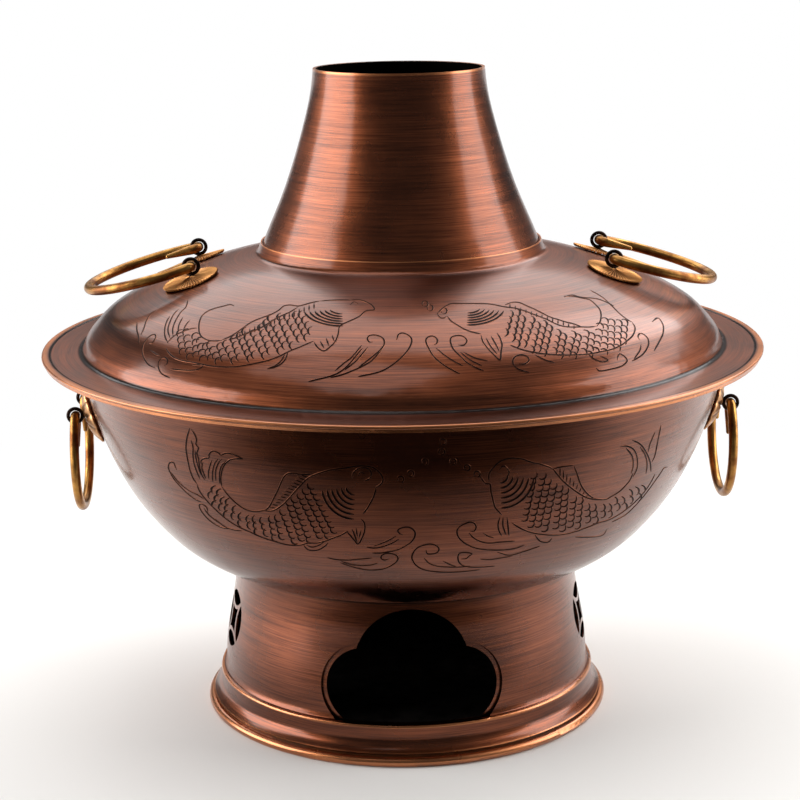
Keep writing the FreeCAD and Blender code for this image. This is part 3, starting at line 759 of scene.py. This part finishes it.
def allStrokes(text, rays, bubbles, scales, gills, look):
    # every cut with its half width
    rows = text.strip().replace("\n  ", " ").splitlines()
    narrow = [resample(readPixels(row), look["step"]) for row in rows]
    for ray in rays:
        narrow += rayStrokes(*ray, look)
    for centre in bubbles:
        narrow.append(crescent(Vector(centre), bubbleOpens, look["bubbleRadius"], look["bubbleSpread"],
                               look["bubbleSections"]))
    wide = []
    for gill in gills:
        wide += gillStrokes(*gill, look)
    for back, belly, lean in scales:
        wide += scaleStrokes(back, belly, lean, look)
    return [(line, look["half"]) for line in narrow] + [(line, look["scaleHalf"]) for line in wide]


def surfaceHits(tree, place, setup, pixels, grazing):
    # where the camera sees each pixel on the part
    right, up, back = (place.to_3x3().col[i] for i in range(3))
    focal = setup["focal"] / setup["sensor"] * setup["viewSize"]
    half = setup["viewSize"] / 2
    hits = []
    for pixel in pixels:
        way = (right * (pixel.x - half) / focal - up * (pixel.y - half) / focal - back).normalized()
        spot, normal = tree.ray_cast(place.translation, way)[:2]
        if spot is not None and normal.dot(way) < grazing:
            hits.append((spot, normal))
    return hits


def addGroove(vertices, faces, kinds, hits, half, look):
    # six points across: skirt, lip, floor, floor, lip, skirt
    section = [(-look["skirt"], -look["sunk"]), (-1.0, look["lip"]), (-look["bed"], look["floor"]),
               (look["bed"], look["floor"]), (1.0, look["lip"]), (look["skirt"], -look["sunk"])]
    points = len(section)
    start = len(vertices)
    last = len(hits) - 1
    for i, (spot, normal) in enumerate(hits):
        along = hits[min(i + 1, last)][0] - hits[max(i - 1, 0)][0]
        side = normal.cross(along).normalized()
        inside = min(i, last - i) / max(1, min(look["tipLength"], last / 2))
        taper = min(1.0, look["tip"] + (1 - look["tip"]) * inside)
        for across, rise in section:
            lift = rise * (taper if rise > 0 else 1.0)
            vertices.append(spot + side * (across * half * taper) + normal * (lift * millimetre))
    for i in range(last):
        for k in range(points):
            a, b = start + points * i + k, start + points * i + (k + 1) % points
            faces.append((a, b, b + points, a + points))
            kinds.append(1 if k in (1, 2, 3) else 0)
    for ring in (start, start + points * last):
        corners = tuple(range(ring, ring + points))
        faces.append(corners[::-1] if ring == start else corners)
        kinds.append(0)


def makeChasing(name, node, body, lines, look, lip, groove):
    part = frame["nodes"][node].data
    tree = BVHTree.FromPolygons([v.co for v in part.vertices], [tuple(p.vertices) for p in part.polygons])
    vertices, faces, kinds = [], [], []
    for line, half in lines:
        hits = surfaceHits(tree, cameraPlace, cameraSetup, line, look["grazing"])
        if len(hits) >= 3 and len(hits) > look["landed"] * len(line):
            addGroove(vertices, faces, kinds, hits, half * millimetre, look)
    front = len(vertices)
    vertices += [Vector((-v.x, -v.y, v.z)) for v in vertices]      # the same scene on the far side
    faces += [tuple(i + front for i in face) for face in faces]
    kinds += kinds
    mesh = bpy.data.meshes.new(name)
    mesh.from_pydata([tuple(v) for v in vertices], [], faces)
    mesh.materials.append(lip)
    mesh.materials.append(groove)
    mesh.polygons.foreach_set("material_index", kinds)
    mesh.polygons.foreach_set("use_smooth", [True] * len(mesh.polygons))
    mesh.update()
    bm = bmesh.new()
    bm.from_mesh(mesh)
    bmesh.ops.recalc_face_normals(bm, faces=bm.faces)
    bm.to_mesh(mesh)
    bm.free()
    piece = bpy.data.objects.new(name, mesh)
    scene.collection.objects.link(piece)
    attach(piece, body)
    print(name, len(lines), "strokes,", len(mesh.polygons), "faces")


rubbedLitLip = {"bright": "#9a6248", "dark": "#5a3222", "blotch": 9.0, "grain": 0.6, "marks": 0.02,
             "rough": 0.3}
grooveDirtAndShade = {"bright": "#1d0f0b", "dark": "#120a08", "blotch": 4.0, "grain": 0.4, "marks": 0.02,
              "rough": 0.55}
# a thin bright edge along each cut, rubbed copper with a painted highlight, and the dark line inside it,
# patina with painted shade
litLipMetal = makeWireMetal("copper, chased edge rubbed bright, painted highlight", rubbedLitLip)
shadedGrooveMetal = makeWireMetal("copper, groove dark with patina and painted shade", grooveDirtAndShade)
bowlLines = allStrokes(bowlStrokes, bowlRays, bowlBubbles, bowlScales, bowlGills, chasing)
lidLines = allStrokes(lidStrokes, lidRays, lidBubbles, lidScales, lidGills, chasing)
makeChasing("engraving_bowl", "bowl", "pot", bowlLines, chasing, litLipMetal, shadedGrooveMetal)
makeChasing("engraving_lid", "lid_shell", "lid", lidLines, chasing, litLipMetal, shadedGrooveMetal)


# shell-shaped plates behind the bowl's rings, stamped up from sheet

shellPlate = {
    "lobes": 10,
    "sections": 8,          # points round each lobe
    "radius": 13.8,         # mm
    "rise": 3.7,            # crown over the wall
    "sheet": 0.9,
    "seat": 0.15,           # stands off the wall
    "bulge": 0.96,          # how far each lobe swells
    "bulgeEnd": 1.05,       # over 1, so that the swelling ends a little inside the rim
    "level": 0.6,           # height on a lobe that neither swells nor sinks
    "notch": 1.7,           # how deep the rim cuts in between lobes
    # powers that shape the curves
    "crownPower": 2.4,
    "notchPower": 0.6,
    "lobePower": 0.8,
    "rings": 12,
    "middle": 0.02,         # share of the radius left open in the middle
}


def makeShellPlate(node, look, material):
    low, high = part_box(node)
    sideways = Vector(((low.x + high.x) / 2, (low.y + high.y) / 2, 0))
    outward = max((p for p in frame["nodes"][node].data.polygons if p.normal.dot(sideways) > 0),
                  key=lambda p: p.area).normal
    middle = seatOf(node, outward)
    level = Vector((0, 0, 1)).cross(outward).normalized()
    up = outward.cross(level)
    around = look["lobes"] * look["sections"]
    bm = bmesh.new()
    sides = []
    for sunk in (0.0, look["sheet"]):
        rings = []
        for j in range(look["rings"] + 1):
            share = max(look["middle"], j / look["rings"])
            dome = look["rise"] * (1 - share ** look["crownPower"]) + look["sheet"] + look["seat"]
            swell = look["bulge"] * math.sin(math.pi * min(1.0, share * look["bulgeEnd"]))
            ring = []
            for i in range(around):
                turn = 2 * math.pi * i / around
                lobe = abs(math.cos(turn * look["lobes"] / 2))
                notch = look["notch"] * (1 - lobe ** look["notchPower"])
                radius = share * (look["radius"] - notch * share ** 3)
                lift = swell * (lobe ** look["lobePower"] - look["level"])
                rise = max(dome + lift - sunk, look["seat"])
                spot = level * math.cos(turn) * radius + up * math.sin(turn) * radius + outward * rise
                ring.append(bm.verts.new(middle + spot * millimetre))
            rings.append(ring)
        sides.append(rings)
    closedSheet(bm, *sides)
    piece = meshPiece(node + "_shell", bm, [material], "pot")
    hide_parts(node)


for row in frame["record"]["subparts"]:
    if row["node"].startswith("bowl_plate"):
        makeShellPlate(row["node"], shellPlate, brassSheet)
print("shell plates raised")


# pleated rosettes under the lid's eyes, folded like two fans

rosette = {
    "pleats": 52,
    "sections": 4,          # points to a pleat: valley, slope, ridge, slope
    "radius": 14.0,         # mm
    "crown": 1.9,           # middle over the seat
    "fan": 0.45,            # how much lower the crown runs up and down the dome
    "fold": 0.7,            # ridge over valley at the rim
    "sheet": 0.7,
    "seat": 0.1,
    "teeth": 0.9,           # how far the rim's points stand out
    "rings": 10,
    "middle": 0.03,         # share of the radius left open in the middle
}


def makeRosette(node, look, material):
    outward = sum((p.normal * p.area for p in frame["nodes"][node].data.polygons if p.normal.z > 0.5),
                  Vector()).normalized()
    middle = seatOf(node, outward)
    level = Vector((-middle.y, middle.x, 0)).normalized()
    up = outward.cross(level)
    around = look["pleats"] * look["sections"]
    bm = bmesh.new()
    sides = []
    for sunk in (0.0, look["sheet"]):
        rings = []
        for j in range(look["rings"] + 1):
            share = max(look["middle"], j / look["rings"])
            ring = []
            for i in range(around):
                ridge = 1 - abs((i % look["sections"]) - 2) / 2
                turn = 2 * math.pi * i / around
                radius = share * (look["radius"] - look["teeth"] * (1 - ridge) * share ** 4)
                crown = look["crown"] * (1 - share) * (1 - look["fan"] * abs(math.sin(turn)) ** 3)
                rise = crown + look["fold"] * ridge * share + look["sheet"] + look["seat"] - sunk
                spot = level * math.cos(turn) * radius + up * math.sin(turn) * radius + outward * rise
                ring.append(bm.verts.new(middle + spot * millimetre))
            rings.append(ring)
        sides.append(rings)
    closedSheet(bm, *sides)
    piece = meshPiece(node + "_fan", bm, [material], "lid", smooth=False)
    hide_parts(node)


for row in frame["record"]["subparts"]:
    if row["node"].startswith("lid_rosette"):
        makeRosette(row["node"], rosette, brassFan)
print("rosettes folded")
